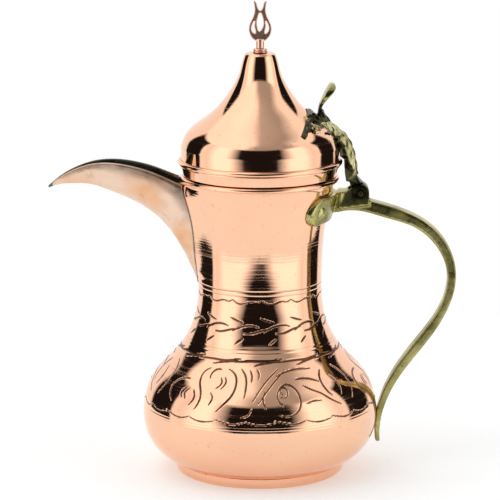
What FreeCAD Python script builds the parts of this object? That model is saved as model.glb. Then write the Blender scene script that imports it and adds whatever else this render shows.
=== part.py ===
# Dallah coffee pot: spun copper body, folded foot, beak spout, cast brass handle and hinged lid.
# Millimetres, +Z up. The origin is on the pot's axis at the plane that the foot stands on.
# The spout points to -X and the handle to +X; the hinge pin lies along Y.
import FreeCAD, Part
import math
import os

os.makedirs("parts", exist_ok=True)

# ---- driving dimensions -------------------------------------------------------------------
SHEET = 1.0                 # copper sheet of the body and the lid
SPOUT_SHEET = 1.2
TIP_SHEET = 0.35            # hammered thin where the beak closes
FIT = 0.05                  # radial play of a free-running fit
LID_GAP = 0.4               # under the lid, all round the mouth

MOUTH_Z = 177.0             # top of the body
MOUTH_R = 44.6
WIRE_R = 0.8                # wire inside the rolled mouth
SKIRT_R = 48.7              # outside of the body's turned-down edge, inside the folded foot
SKIRT_TOP = 5.6
FOOT_R = 49.9
FOOT_FLOOR = 2.4            # height of the bottom plate over the table
SEAM_Z = 116.0              # the sheet is parted here into belly and neck; the pot shows no seam
STRAINER_R = 2.2
STRAINER_PITCH = 8.5
STRAINER_Z = 132.0          # lowest row of holes behind the spout

# outline of the belly and neck: radius, height
BODY_OUTLINE = [(51.4, 6.4), (60.1, 12.2), (67.1, 22.0), (69.5, 34.0), (68.2, 46.0), (62.6, 58.0),
                (49.8, 72.0), (41.1, 86.0), (37.1, 100.0), (36.4, 116.0), (38.4, 147.0),
                (41.3, 162.0), (MOUTH_R, MOUTH_Z)]

BEAD_R = 48.4               # widest ring of the lid
BEAD_Z = 185.4
BEAD_HALF = 1.5
WALL_R = 46.4               # upright wall of the dome
WALL_BOTTOM = 184.0
WALL_TOP = 194.5
LID_TOP = 249.3
LID_CAP_R = 9.0
DOME_OUTLINE = [(WALL_R, WALL_TOP), (44.3, 200.2), (39.2, 206.0), (32.5, 211.0), (26.4, 216.0),
                (21.1, 222.0), (15.7, 230.0), (12.0, 238.0), (10.2, 245.0), (LID_CAP_R, 248.6)]
COLLAR_TOP_R = 40.4         # the tapered collar that finds the mouth
COLLAR_END_R = 38.2
COLLAR_DEPTH = 5.5

HINGE_X = 58.7
HINGE_Z = 167.3
KNUCKLE_R = 5.3
PIN_R = 1.5
ARM_HALF = 4.0              # half width of the lid's knuckle
LUG_INNER = 4.3             # the handle's two lugs stand outside it
LUG_OUTER = 8.3

SADDLE_THICK = 2.8
EAR_ANGLE = 34.7            # degrees round the neck from the handle
EAR_Z = 159.4
EAR_HALF_Y = 6.9
EAR_HALF_Z = 8.4
RIVET_R = 1.5
RIVET_HEAD_R = 3.5
STRAP_HALF = 5.5            # half width of the handle at its root
STRAP_END_HALF = 4.2

FOOT_PLATE = 2.0            # the lid arm's foot, on the dome
ARM_RIVET_ANGLE = 33.0
ARM_RIVET_Z = 207.4
ARM_RIVET_R = 1.2
ARM_RIVET_HEAD_R = 2.4
LEAF_HALF = 8.0
LEAF_WALL = 2.0

FINIAL_BASE = 256.0
FINIAL_TOP = 280.0
FINIAL_THICK = 2.4
STEM_R = 2.3
STUD_R = 1.5
NUT_FLATS = 6.0

X_AXIS = FreeCAD.Vector(1, 0, 0)
Y_AXIS = FreeCAD.Vector(0, 1, 0)
Z_AXIS = FreeCAD.Vector(0, 0, 1)
CENTRE = FreeCAD.Vector(0, 0, 0)


# ---- helpers ------------------------------------------------------------------------------
def side(x, z, y=0.0):
    """A point given by its place in the side view."""
    return FreeCAD.Vector(x, y, z)


def spline(points):
    curve = Part.BSplineCurve()
    curve.interpolate([side(x, z) for x, z in points])
    return curve


def polyline(points):
    return [Part.LineSegment(side(*a), side(*b)).toShape() for a, b in zip(points, points[1:])]


def shifted(points, distance):
    """The points of an outline moved square to it, towards the axis for a positive distance."""
    curve = spline(points)
    moved = []
    for x, z in points:
        tangent = curve.tangent(curve.parameter(side(x, z)))[0]
        moved.append((x - tangent.z * distance, z + tangent.x * distance))
    return moved


def spin(edges, angle=360.0):
    face = Part.Face(Part.Wire(Part.__sortEdges__(edges)))
    return face.revolve(CENTRE, Z_AXIS, angle)


def slab(edges, half):
    """A side-view outline made a solid that reaches half its width to each side."""
    face = Part.Face(Part.Wire(Part.__sortEdges__(edges)))
    face.translate(FreeCAD.Vector(0, -half, 0))
    return face.extrude(FreeCAD.Vector(0, 2 * half, 0))


def rod(start, direction, radius, length):
    return Part.makeCylinder(radius, length, start, direction)


def dome_head(centre, direction, radius, height):
    """A low round rivet head standing on a flat face."""
    ball = (radius * radius + height * height) / (2 * height)
    sphere = Part.makeSphere(ball, centre - direction * (ball - height))
    return sphere.common(rod(centre, direction, radius + 1.0, height + 1.0))


def normal_at(outline, z, angle):
    """The point at height z on a spun outline, its outward direction and its radius."""
    curve = spline(outline)
    low, high = curve.FirstParameter, curve.LastParameter
    rising = outline[-1][1] > outline[0][1]
    for _ in range(50):
        middle = (low + high) / 2
        above = curve.value(middle).z > z
        if above == rising:
            high = middle
        else:
            low = middle
    point = curve.value(low)
    tangent = curve.tangent(low)[0]
    out = FreeCAD.Vector(abs(tangent.z), 0, -tangent.x * math.copysign(1, tangent.z))
    turn = FreeCAD.Rotation(Z_AXIS, angle)
    return turn.multVec(FreeCAD.Vector(point.x, 0, point.z)), turn.multVec(out), point.x


def export(name, shape):
    shape = shape.removeSplitter()
    solids = shape.Solids
    shape = solids[0] if len(solids) == 1 else Part.makeCompound(solids)
    if not shape.isValid():
        raise ValueError(name + " is not valid")
    shape.exportStep("parts/" + name + ".step")
    print(name, len(solids), round(shape.Volume, 1))
    return shape


# ---- pot: body ----------------------------------------------------------------------------
body_inner = shifted(BODY_OUTLINE, SHEET)
hem_inner = MOUTH_R - 2 * SHEET - 2 * WIRE_R


def body_solid():
    """Everything inside the body's outer surface, for cutting what is fitted to it."""
    edges = [spline(BODY_OUTLINE).toShape()]
    edges += polyline([BODY_OUTLINE[-1], (0, MOUTH_Z), (0, BODY_OUTLINE[0][1]), BODY_OUTLINE[0]])
    return spin(edges)


def raised_sheet_of_body(rivet_axes):
    hem_bottom = MOUTH_Z - 2 * WIRE_R - 1.8 * SHEET
    inner = body_inner[:-1] + [(MOUTH_R - 1.75 * SHEET, hem_bottom)]
    skirt_in = SKIRT_R - SHEET
    edges = [spline(BODY_OUTLINE).toShape(), spline(inner).toShape()]
    edges += polyline([inner[0], (skirt_in, inner[0][1] - 0.6), (skirt_in, SHEET),
                       (SKIRT_R, SHEET), (SKIRT_R, SKIRT_TOP), BODY_OUTLINE[0]])
    # the mouth is rolled inwards over a wire and closed against the wall
    edges += polyline([inner[-1], (hem_inner, inner[-1][1]), (hem_inner, MOUTH_Z),
                       BODY_OUTLINE[-1]])
    shell = spin(edges)
    shell = shell.cut(rim_wire())
    for hole in strainer_holes():
        shell = shell.cut(hole)
    for start, direction in rivet_axes:
        shell = shell.cut(rod(start - direction * 6, direction, RIVET_R + FIT, 12))
    return shell


def above(z):
    """All the space round the pot that is higher than a level."""
    return Part.makeCylinder(2 * FOOT_R, 2 * MOUTH_Z, FreeCAD.Vector(0, 0, z))


def rim_wire():
    place = FreeCAD.Vector(0, 0, MOUTH_Z - SHEET - WIRE_R)
    return Part.makeTorus(MOUTH_R - SHEET - WIRE_R, WIRE_R, place, Z_AXIS)


def strainer_holes():
    """Rows of holes through the neck, behind the spout."""
    holes = []
    for row in range(3):
        z = STRAINER_Z + STRAINER_PITCH * row
        across = 2 + row % 2
        for place in range(across):
            y = (place - (across - 1) / 2) * STRAINER_PITCH
            holes.append(rod(FreeCAD.Vector(-32, y, z), FreeCAD.Vector(-1, 0, 0), STRAINER_R, 16))
    return holes


def bottom_plate():
    """The bottom, with its edge folded up round the body's skirt as the foot."""
    skirt_in = SKIRT_R - SHEET
    well = skirt_in - 1.6
    points = [(0, FOOT_FLOOR + 0.8), (well, FOOT_FLOOR), (skirt_in - 0.4, 0.6), (skirt_in, 0.0),
              (FOOT_R - 0.9, 0.0), (FOOT_R - 0.2, 0.9), (FOOT_R, 2.4), (FOOT_R, SKIRT_TOP),
              (SKIRT_R, SKIRT_TOP), (SKIRT_R, SHEET), (skirt_in, SHEET),
              (skirt_in, FOOT_FLOOR + SHEET), (well, FOOT_FLOOR + SHEET),
              (0, FOOT_FLOOR + SHEET + 0.8), (0, FOOT_FLOOR + 0.8)]
    return spin(polyline(points))


# ---- pot: spout ---------------------------------------------------------------------------
# each station across the beak: top edge x, z; keel x, z; half width at the top edge
SPOUT_STATIONS = [(-124.3, 170.3, -123.9, 169.5, 0.5), (-117.4, 176.0, -118.2, 171.4, 2.0),
                  (-108.4, 181.0, -110.0, 172.1, 3.6), (-96.8, 184.6, -99.5, 171.6, 5.6),
                  (-83.0, 184.9, -88.5, 168.0, 8.2), (-71.0, 182.7, -77.5, 163.4, 10.0),
                  (-62.0, 179.9, -66.0, 157.0, 11.2), (-54.0, 176.6, -54.8, 146.8, 12.2),
                  (-47.0, 173.8, -43.6, 128.9, 12.9), (-38.0, 171.0, -33.0, 104.0, 13.2)]


def trough_section(station, shrink):
    """The outline of a U across the beak; shrink draws it inwards by the sheet's thickness."""
    top_x, top_z, keel_x, keel_z, half = station
    top = side(top_x, top_z)
    keel = side(keel_x, keel_z)
    down = keel - top
    depth = down.Length
    down = down / depth
    half = half - shrink
    depth = depth - shrink
    points = []
    for share, width in ((0.0, 1.0), (0.3, 0.97), (0.62, 0.76), (0.88, 0.38), (1.0, 0.0)):
        points.append((share * depth, width * half))
    near = [top + down * along + Y_AXIS * -across for along, across in points]
    far = [top + down * along + Y_AXIS * across for along, across in points]
    return near + far[-2::-1]


def section_wire(outer, inner=None):
    curve = Part.BSplineCurve()
    curve.interpolate(outer)
    edges = [curve.toShape()]
    if inner is None:
        edges.append(Part.LineSegment(outer[-1], outer[0]).toShape())
        return Part.Wire(edges)
    back = Part.BSplineCurve()
    back.interpolate(inner[::-1])
    edges.append(Part.LineSegment(outer[-1], inner[-1]).toShape())
    edges.append(back.toShape())
    edges.append(Part.LineSegment(inner[0], outer[0]).toShape())
    return Part.Wire(edges)


def spout_blank(shrink):
    """The beak as if it were full; a negative shrink makes it fatter."""
    wires = []
    for station in SPOUT_STATIONS:
        wires.append(section_wire(trough_section(station, shrink)))
    return Part.makeLoft(wires, True, False)


def spout_beak():
    wires = []
    last = len(SPOUT_STATIONS) - 1
    for number, station in enumerate(SPOUT_STATIONS):
        sheet = SPOUT_SHEET if number > 1 else TIP_SHEET * (1 + number)
        sheet = min(sheet, station[4] * 0.6)
        outer = trough_section(station, 0.0)
        wires.append(section_wire(outer, trough_section(station, sheet)))
    trough = Part.makeLoft(wires, True, False)
    return trough.cut(body_solid())


def spout_solder_bead():
    """The line of solder round the outside of the joint, standing on the neck."""
    neck = [point for point in BODY_OUTLINE if point[1] > 80]
    outer = shifted(neck, -0.7)
    edges = [spline(neck).toShape(), spline(outer).toShape()]
    edges += polyline([neck[0], outer[0]])
    edges += polyline([neck[-1], outer[-1]])
    skin = spin(edges)
    cap = Part.makeBox(60, 60, 30, FreeCAD.Vector(-80, -30, 173.0))
    bead = spout_blank(-1.0).common(skin).cut(spout_blank(0.0)).cut(cap).cut(body_solid())
    return bead


# ---- pot: handle --------------------------------------------------------------------------
STRAP_OUTER = [(50.0, 166.0), (64.0, 162.6), (82.9, 156.9), (98.9, 148.7), (111.3, 134.3),
               (115.6, 118.0), (111.4, 97.9), (98.1, 76.0), (81.7, 53.9), (74.6, 39.1),
               (71.6, 16.0)]
STRAP_INNER = [(46.0, 155.6), (55.9, 156.6), (74.1, 152.1), (89.9, 146.9), (102.0, 137.3),
               (110.6, 117.0), (106.1, 97.9), (90.9, 76.0), (76.3, 53.9), (70.5, 39.1),
               (68.9, 16.0)]


def handle_casting(rivet_axes):
    edges = [spline(STRAP_OUTER).toShape(), spline(STRAP_INNER).toShape()]
    edges += polyline([STRAP_INNER[-1], STRAP_OUTER[-1]])
    edges += polyline([STRAP_OUTER[0], (40.0, 166.0), (40.0, 155.6), STRAP_INNER[0]])
    strap = slab(edges, STRAP_HALF)
    # seen along X, the strap narrows towards its free end
    front = [FreeCAD.Vector(0, -STRAP_END_HALF, 10), FreeCAD.Vector(0, STRAP_END_HALF, 10),
             FreeCAD.Vector(0, STRAP_HALF, 170), FreeCAD.Vector(0, -STRAP_HALF, 170),
             FreeCAD.Vector(0, -STRAP_END_HALF, 10)]
    strap = strap.common(Part.Face(Part.makePolygon(front)).extrude(X_AXIS * 140))
    casting = strap.fuse(saddle()).fuse(lugs())
    casting = casting.cut(body_solid())
    # room between the lugs for the lid's knuckle
    casting = casting.cut(rod(FreeCAD.Vector(HINGE_X, -LUG_INNER, HINGE_Z), Y_AXIS,
                              KNUCKLE_R + 0.6, 2 * LUG_INNER))
    behind = FreeCAD.Vector(HINGE_X - 7.0, -LUG_INNER, HINGE_Z)
    casting = casting.cut(Part.makeBox(7.0, 2 * LUG_INNER, 12, behind))
    ahead = FreeCAD.Vector(HINGE_X, -LUG_INNER, HINGE_Z - 5.3)
    casting = casting.cut(Part.makeBox(14.0, 2 * LUG_INNER, 16, ahead))
    casting = casting.cut(rod(FreeCAD.Vector(HINGE_X, -20, HINGE_Z), Y_AXIS, PIN_R, 40))
    for start, direction in rivet_axes:
        casting = casting.cut(rod(start - direction * 6, direction, RIVET_R + FIT, 12))
        flat = start + direction * SADDLE_THICK
        casting = casting.cut(rod(flat, direction, RIVET_HEAD_R + 0.4, 6))
    return casting


def saddle():
    """The plate that hugs the neck, with a rounded ear to each side."""
    neck = [point for point in BODY_OUTLINE if point[1] > 110]
    outer = shifted(neck, -SADDLE_THICK)
    edges = [spline(neck).toShape(), spline(outer).toShape()]
    edges += polyline([neck[0], outer[0]])
    edges += polyline([neck[-1], outer[-1]])
    skin = spin(edges)
    ear_y = 43.0 * math.sin(math.radians(EAR_ANGLE))
    window = Part.makeBox(60, 2 * ear_y, 2 * EAR_HALF_Z - 1.2,
                          FreeCAD.Vector(20, -ear_y, EAR_Z - EAR_HALF_Z + 0.6))
    for sign in (-1, 1):
        lobe = Part.Ellipse(CENTRE, EAR_HALF_Z, EAR_HALF_Y).toShape()
        lobe = Part.Face(Part.Wire(lobe)).extrude(Z_AXIS * 60)
        lobe.rotate(CENTRE, Y_AXIS, 90)
        lobe.translate(FreeCAD.Vector(20, sign * ear_y, EAR_Z))
        window = window.fuse(lobe)
    return skin.common(window)


def lugs():
    """Two round lugs on a block that rises from the root of the strap."""
    outline = [(46.0, 158.0), (46.0, 168.2), (50.5, 168.2), (HINGE_X - 3.2, HINGE_Z + 4.2),
               (HINGE_X + KNUCKLE_R, HINGE_Z), (HINGE_X + KNUCKLE_R, 160.0), (46.0, 158.0)]
    block = slab(polyline(outline), LUG_OUTER)
    barrel = rod(FreeCAD.Vector(HINGE_X, -LUG_OUTER, HINGE_Z), Y_AXIS, KNUCKLE_R, 2 * LUG_OUTER)
    corner = Part.makeBox(12, 40, 12, FreeCAD.Vector(HINGE_X, -20, HINGE_Z))
    return block.cut(corner).fuse(barrel)


def hinge_pin():
    """A plain pin, pressed into both lugs, with its ends rounded over."""
    length = 2 * LUG_OUTER + 1.6
    pin = rod(FreeCAD.Vector(HINGE_X, -length / 2, HINGE_Z), Y_AXIS, PIN_R, length)
    return pin.makeFillet(0.5, [edge for edge in pin.Edges if edge.Length < 10 and edge.isClosed()])


def handle_rivet_axes():
    axes = []
    for sign in (-1, 1):
        point, out, _ = normal_at(BODY_OUTLINE[-5:], EAR_Z, sign * EAR_ANGLE)
        axes.append((point, out))
    return axes


def rivet(start, out, grip, inside, radius, head_radius):
    """A rivet through grip outside the sheet and inside behind it, headed at both ends."""
    shank = rod(start - out * inside, out, radius, grip + inside)
    outer = dome_head(start + out * grip, out, head_radius, head_radius * 0.42)
    inner = dome_head(start - out * inside, out * -1, radius * 1.7, radius * 0.8)
    return shank.fuse(outer).fuse(inner)


def washer(centre, out, bore, radius, thickness):
    return rod(centre, out, radius, thickness).cut(rod(centre - out, out, bore, thickness + 2))


# ---- lid ----------------------------------------------------------------------------------
def dome_room(gap):
    """The dome's outside grown by a gap, for cutting what stands off it."""
    outline = shifted(DOME_OUTLINE, -gap)
    low_r, top_z = outline[0][0], outline[-1][1]
    edges = [spline(outline).toShape()]
    edges += polyline([outline[-1], (0, top_z), (0, WALL_BOTTOM), (low_r, WALL_BOTTOM), outline[0]])
    return spin(edges)


def lid_dome(rivet_axes):
    inner = shifted(DOME_OUTLINE, SHEET)
    inner[0] = (WALL_R - SHEET, WALL_TOP)
    inner[-1] = (LID_CAP_R - SHEET, LID_TOP - SHEET)
    edges = [spline(DOME_OUTLINE).toShape(), spline(inner).toShape()]
    edges += polyline([DOME_OUTLINE[-1], (7.0, LID_TOP), (STUD_R + FIT, LID_TOP),
                       (STUD_R + FIT, LID_TOP - SHEET), inner[-1]])
    edges += polyline([DOME_OUTLINE[0], (WALL_R, WALL_BOTTOM), (WALL_R - SHEET, WALL_BOTTOM),
                       inner[0]])
    dome = spin(edges)
    for start, direction in rivet_axes:
        dome = dome.cut(rod(start - direction * 5, direction, ARM_RIVET_R + FIT, 10))
    return dome


def lid_rim_band():
    """The ring that the dome stands in: a round bead over a band that narrows to the mouth."""
    bottom = MOUTH_Z + LID_GAP
    low_r = MOUTH_R + 0.4
    arc = Part.Arc(side(BEAD_R - 1.0, BEAD_Z - BEAD_HALF), side(BEAD_R, BEAD_Z),
                   side(BEAD_R - 1.3, BEAD_Z + BEAD_HALF)).toShape()
    edges = [arc]
    edges += polyline([(BEAD_R - 1.3, BEAD_Z + BEAD_HALF), (WALL_R, BEAD_Z + BEAD_HALF),
                       (WALL_R, WALL_BOTTOM), (WALL_R - SHEET, WALL_BOTTOM),
                       (low_r - 1.4, bottom + 1.2), (low_r - 1.4, bottom), (low_r, bottom),
                       (BEAD_R - 1.0, BEAD_Z - BEAD_HALF)])
    return spin(edges)


def lid_inner_collar():
    """A tapered ring under the lid; its taper lets it swing clear of the mouth."""
    bottom = MOUTH_Z + LID_GAP
    end = MOUTH_Z - COLLAR_DEPTH
    outer = MOUTH_R + 0.4 - 1.4
    points = [(outer, bottom), (outer, bottom + 1.2), (COLLAR_TOP_R - SHEET, bottom + 1.2),
              (COLLAR_END_R - SHEET, end), (COLLAR_END_R, end), (COLLAR_TOP_R, bottom),
              (outer, bottom)]
    return spin(polyline(points))


# the cast arm in side view: its outer edge from the thumb tab to the knuckle, and its inner edge
ARM_OUTER = [(37.2, 215.0), (42.0, 207.4), (49.1, 201.6), (53.6, 194.2), (55.4, 187.0),
             (57.0, 176.8), (61.4, 172.2)]
ARM_INNER = [(33.0, 213.0), (38.6, 202.6), (44.4, 191.6), (49.2, 186.6), (49.4, 182.0), (50.2, 174.6)]


def lid_arm(rivet_axes):
    leaf = leaf_channel()
    knuckle = rod(FreeCAD.Vector(HINGE_X, -ARM_HALF, HINGE_Z), Y_AXIS, KNUCKLE_R, 2 * ARM_HALF)
    bridge = slab(polyline([(51.5, 176.0), (57.2, 176.0), (HINGE_X + 3.6, HINGE_Z + 3.6),
                            (HINGE_X - 2, HINGE_Z - 2), (HINGE_X - 4.8, HINGE_Z + 1),
                            (51.5, 176.0)]), ARM_HALF)
    arm = leaf.fuse(bridge).fuse(knuckle).fuse(thumb_tab())
    arm = arm.cut(dome_room(0.6)).fuse(foot_plate())
    arm = arm.cut(rod(FreeCAD.Vector(HINGE_X, -20, HINGE_Z), Y_AXIS, PIN_R + FIT, 40))
    for start, direction in rivet_axes:
        arm = arm.cut(rod(start - direction * 5, direction, ARM_RIVET_R + FIT, 10))
        arm = arm.cut(rod(start + direction * FOOT_PLATE, direction, ARM_RIVET_HEAD_R + 0.3, 4))
    return arm


def leaf_channel():
    """The arched leaf: a channel, open towards the pot, that ends above the handle's lugs."""
    edges = [spline(ARM_OUTER).toShape()]
    edges += polyline([ARM_OUTER[0]] + ARM_INNER + [ARM_OUTER[-1]])
    leaf = slab(edges, LEAF_HALF)
    hollow_outer = shifted(ARM_OUTER, -LEAF_WALL)
    hollow = [spline(hollow_outer).toShape()]
    hollow += polyline([hollow_outer[0], (20.0, 214.0), (20.0, 160.0), (60.0, 160.0),
                        hollow_outer[-1]])
    leaf = leaf.cut(slab(hollow, LEAF_HALF - LEAF_WALL))
    over_lugs = rod(FreeCAD.Vector(HINGE_X, -20, HINGE_Z), Y_AXIS, KNUCKLE_R + 0.9, 40)
    return leaf.cut(over_lugs)


def foot_plate():
    """The crescent that lies on the shoulder of the dome, under the arm."""
    shoulder = DOME_OUTLINE[0:6]
    outer = shifted(shoulder, -FOOT_PLATE)
    edges = [spline(shoulder).toShape(), spline(outer).toShape()]
    edges += polyline([shoulder[0], outer[0]])
    edges += polyline([shoulder[-1], outer[-1]])
    skin = spin(edges)
    front = Part.BSplineCurve()
    crescent = [(0, 216.0), (-9, 214.4), (-19, 211.4), (-33, 204.6), (-24, 205.0), (-14, 204.0),
                (-7, 200.0), (7, 200.0), (14, 204.0), (24, 205.0), (33, 204.6), (19, 211.4),
                (9, 214.4)]
    front.interpolate([FreeCAD.Vector(12, y, z) for y, z in crescent], PeriodicFlag=True)
    window = Part.Face(Part.Wire(front.toShape())).extrude(X_AXIS * 50)
    return skin.common(window)


def thumb_tab():
    """The paddle that the thumb presses."""
    outline = [(33.4, 212.4), (34.6, 219.0), (39.0, 228.2), (42.0, 231.6), (43.6, 230.6),
               (41.0, 224.4), (37.6, 214.4)]
    edges = [spline(outline).toShape()]
    edges += polyline([outline[-1], outline[0]])
    tab = slab(edges, 7.0)
    front = Part.BSplineCurve()
    paddle = [(0, 209.0), (-4.6, 212.0), (-4.2, 217.0), (-6.6, 224.0), (-5.0, 229.6), (0, 232.4),
              (5.0, 229.6), (6.6, 224.0), (4.2, 217.0), (4.6, 212.0)]
    front.interpolate([FreeCAD.Vector(20, y, z) for y, z in paddle], PeriodicFlag=True)
    return tab.common(Part.Face(Part.Wire(front.toShape())).extrude(X_AXIS * 40))


def arm_rivet_axes():
    axes = []
    for sign in (-1, 1):
        point, out, _ = normal_at(DOME_OUTLINE, ARM_RIVET_Z, sign * ARM_RIVET_ANGLE)
        axes.append((point, out))
    return axes


# ---- finial -------------------------------------------------------------------------------
# half of the tulip's outline: across, height over its base
TULIP_HALF = [(2.0, 0.0), (5.2, 2.4), (6.6, 6.4), (6.2, 9.6), (4.6, 13.2), (3.4, 16.6),
              (3.3, 19.6), (3.9, 23.6)]


def tulip_pane(points):
    curve = Part.BSplineCurve()
    curve.interpolate([side(x, FINIAL_BASE + z, -5) for x, z in points], PeriodicFlag=True)
    return Part.Face(Part.Wire(curve.toShape())).extrude(Y_AXIS * 10)


def finial_tulip():
    """A flat pierced tulip on a round stem, with the stud that holds it to the lid."""
    right = [(x, FINIAL_BASE + z) for x, z in TULIP_HALF]
    left = [(-x, z) for x, z in right]
    tip = [right[-1], (2.5, FINIAL_TOP - 1.2), (1.5, FINIAL_TOP - 4.2), (0.0, FINIAL_TOP - 6.2),
           (-1.5, FINIAL_TOP - 4.2), (-2.5, FINIAL_TOP - 1.2), left[-1]]
    edges = [spline(right).toShape(), spline(left).toShape(), spline(tip).toShape()]
    edges += polyline([left[0], right[0]])
    tulip = slab(edges, FINIAL_THICK / 2)
    tulip = tulip.cut(tulip_pane([(0, 6.0), (1.8, 9.6), (1.4, 13.6), (0, 16.6), (-1.4, 13.6),
                                  (-1.8, 9.6)]))
    for sign in (-1, 1):
        tulip = tulip.cut(tulip_pane([(sign * x, z) for x, z in
                                      [(3.2, 4.4), (4.9, 6.6), (4.5, 9.6), (3.1, 12.2),
                                       (3.4, 8.6), (2.9, 6.4)]]))
    low = LID_TOP + 2.4
    stem = rod(FreeCAD.Vector(0, 0, low), Z_AXIS, STEM_R, FINIAL_BASE + 1.2 - low)
    stud = rod(FreeCAD.Vector(0, 0, LID_TOP - 6.2), Z_AXIS, STUD_R, low - LID_TOP + 6.2)
    return tulip.fuse(stem).fuse(stud)


def finial_collar():
    """Two stacked rings between the stem and the lid."""
    bore = STUD_R + FIT
    edges = polyline([(3.6, LID_TOP + 2.4), (bore, LID_TOP + 2.4), (bore, LID_TOP),
                      (3.7, LID_TOP)])
    edges.append(Part.Arc(side(3.7, LID_TOP), side(4.2, LID_TOP + 0.6),
                          side(3.5, LID_TOP + 1.2)).toShape())
    edges.append(Part.Arc(side(3.5, LID_TOP + 1.2), side(4.1, LID_TOP + 1.8),
                          side(3.6, LID_TOP + 2.4)).toShape())
    return spin(edges)


def finial_nut():
    corner = NUT_FLATS / math.sqrt(3)
    top = LID_TOP - SHEET - 0.8
    points = []
    for step in range(7):
        angle = math.radians(60 * step)
        points.append(FreeCAD.Vector(corner * math.cos(angle), corner * math.sin(angle), top - 2.6))
    nut = Part.Face(Part.makePolygon(points)).extrude(Z_AXIS * 2.6)
    return nut.cut(rod(FreeCAD.Vector(0, 0, top - 6), Z_AXIS, STUD_R + FIT, 12))


# ---- build --------------------------------------------------------------------------------
handle_axes = handle_rivet_axes()
arm_axes = arm_rivet_axes()

raised_sheet = raised_sheet_of_body(handle_axes)
export("body_belly", raised_sheet.cut(above(SEAM_Z)))
export("body_neck", raised_sheet.common(above(SEAM_Z)))
export("rim_wire", rim_wire())
export("bottom_plate", bottom_plate())
export("spout_beak", spout_beak())
export("spout_solder_bead", spout_solder_bead())
export("handle_casting", handle_casting(handle_axes))
export("hinge_pin", hinge_pin())

WASHER = 0.8
INSIDE = SHEET + WASHER + 0.5
rivets = []
washers = []
for start, out in handle_axes:
    rivets.append(rivet(start, out, SADDLE_THICK, INSIDE, RIVET_R, RIVET_HEAD_R))
    washers.append(washer(start - out * INSIDE, out, RIVET_R + FIT, 3.4, WASHER))
export("handle_rivets", Part.makeCompound(rivets))
export("handle_rivet_washers", Part.makeCompound(washers))

export("lid_dome", lid_dome(arm_axes))
export("lid_rim_band", lid_rim_band())
export("lid_inner_collar", lid_inner_collar())
export("lid_arm", lid_arm(arm_axes))
rivets = []
washers = []
for start, out in arm_axes:
    rivets.append(rivet(start, out, FOOT_PLATE, INSIDE, ARM_RIVET_R, ARM_RIVET_HEAD_R))
    washers.append(washer(start - out * INSIDE, out, ARM_RIVET_R + FIT, 2.8, WASHER))
export("lid_arm_rivets", Part.makeCompound(rivets))
export("lid_arm_rivet_washers", Part.makeCompound(washers))

export("finial_tulip", finial_tulip())
export("finial_collar", finial_collar())
export("finial_washer", washer(FreeCAD.Vector(0, 0, LID_TOP - SHEET - WASHER), Z_AXIS,
                               STUD_R + FIT, 4.0, WASHER))
export("finial_nut", finial_nut())
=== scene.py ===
"""A copper dallah coffee pot: engraved body, beak spout, hinged lid with a leaf arm, cast brass handle."""

import math

import bpy
import numpy as np
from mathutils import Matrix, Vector


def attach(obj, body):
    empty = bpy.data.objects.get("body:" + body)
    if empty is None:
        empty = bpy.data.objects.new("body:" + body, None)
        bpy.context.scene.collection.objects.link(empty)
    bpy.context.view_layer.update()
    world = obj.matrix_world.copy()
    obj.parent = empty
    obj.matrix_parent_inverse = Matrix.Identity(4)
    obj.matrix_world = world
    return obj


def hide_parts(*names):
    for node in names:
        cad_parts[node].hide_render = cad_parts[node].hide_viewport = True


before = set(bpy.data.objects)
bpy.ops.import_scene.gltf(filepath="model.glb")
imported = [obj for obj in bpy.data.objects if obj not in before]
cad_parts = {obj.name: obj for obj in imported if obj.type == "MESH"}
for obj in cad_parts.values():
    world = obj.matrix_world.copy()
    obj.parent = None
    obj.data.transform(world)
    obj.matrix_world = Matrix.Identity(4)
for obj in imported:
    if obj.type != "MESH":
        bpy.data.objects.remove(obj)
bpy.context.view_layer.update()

MM = 0.001

# ---- shape of the pot, millimetres ------------------------------------------------------------
SHEET = 1.0
MOUTH_Z = 177.0
MOUTH_R = 44.6
SKIRT_R = 48.7
SKIRT_TOP = 5.6
BODY_OUTLINE = [
    (51.4, 6.4), (60.1, 12.2), (67.1, 22), (69.5, 34), (68.2, 46), (62.6, 58), (49.8, 72),
    (41.1, 86), (37.1, 100), (36.4, 116), (38.4, 147), (41.3, 162), (44.6, 177),
]
BODY_COLUMNS = 840
ENGRAVED_LOW = 35.0
ENGRAVED_HIGH = 118.0
ENGRAVED_STEP = 0.55
GROOVE_DEPTH = 0.3
STROKE_WIDEN = 1.3
HEM_R = 1.45

LID_OUTLINE = [
    (46.4, 194.5), (44.3, 200.2), (39.2, 206), (32.5, 211), (26.4, 216), (21.1, 222),
    (15.7, 230), (12, 238), (10.2, 245), (9, 248.6),
]
BAND_BOTTOM = (45.0, 177.4)
BEAD_Z = 185.4
BEAD_CENTRE_R = 46.9
BEAD_HALF = 1.5
WALL_R = 46.4
LID_COLUMNS = 320

# Stations of the spout: top edge (x, z), keel (x, z) and half width.
SPOUT_STATIONS = [
    (-124.3, 170.3, -123.9, 169.5, 0.5), (-117.4, 176, -118.2, 171.4, 2),
    (-108.4, 181, -110, 172.1, 3.6), (-96.8, 184.6, -99.5, 171.6, 5.6),
    (-83, 184.9, -88.5, 168, 8.2), (-71, 182.7, -77.5, 163.4, 10),
    (-62, 179.9, -66, 157, 11.2), (-54, 176.6, -54.8, 146.8, 12.2),
    (-47, 173.8, -43.6, 128.9, 12.9), (-38, 171, -33, 104, 13.2),
]
# Section of the trough from its top edge to the keel: share of the depth, share of the half width.
SPOUT_SECTION = [(0, 1), (0.3, 0.97), (0.62, 0.76), (0.88, 0.38), (1, 0)]
SPOUT_SHEET = 1.2
TIP_SHEET = 0.5
BEAD_TUBE_R = 0.45

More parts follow.
